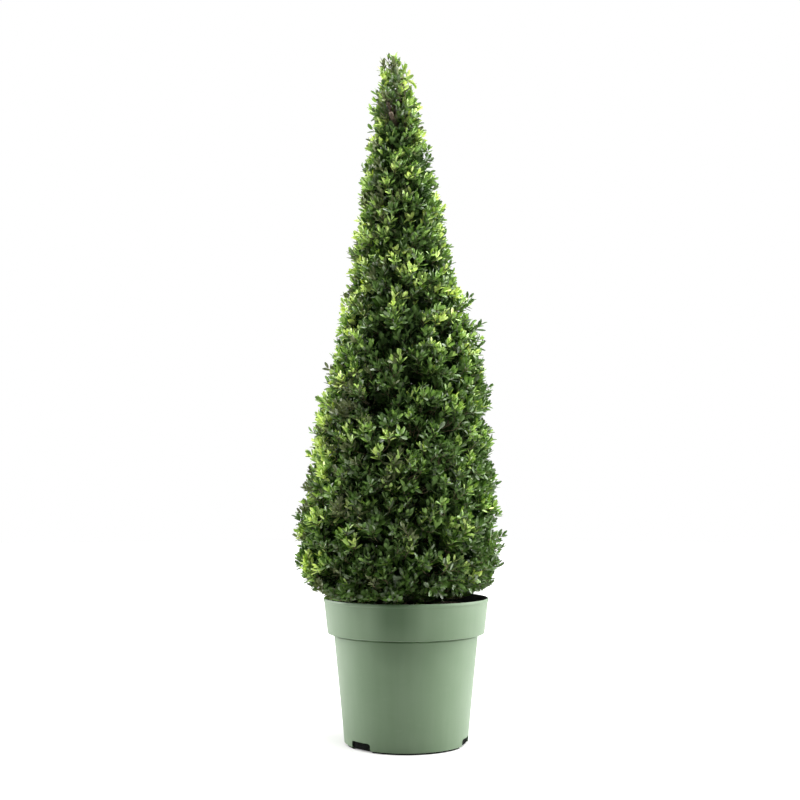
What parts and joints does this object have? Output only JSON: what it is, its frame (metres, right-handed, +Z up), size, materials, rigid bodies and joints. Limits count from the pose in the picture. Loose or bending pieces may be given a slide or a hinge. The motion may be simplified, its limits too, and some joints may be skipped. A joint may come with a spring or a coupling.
{
  "type": "boxwood cone topiary in a nursery pot",
  "caption": "Small-leaved evergreen shrub clipped to a tall cone, growing on one upright stem in a round tapered nursery pot filled with soil.",
  "frame": {"origin": "centre of the flat underside of the pot, on the surface that it stands on", "axes": "+Z up along the stem, -Y towards the front, +X to the right seen from the front"},
  "size_m": [0.3709, 0.3417, 1.1894],
  "materials": {
    "pot_plastic": "smooth sage green moulded plastic with a low sheen, dark inside",
    "potting_soil": "moist dark crumbly compost",
    "bark": "grey-brown finely fissured bark",
    "box_leaf": "small glossy evergreen leaves, dark green with lime green shoot tips"
  },
  "bodies": {
    "root": {"pot": "pot_plastic", "soil": "potting_soil", "stem": "bark", "foliage_cone": "box_leaf"}
  },
  "joints": []
}
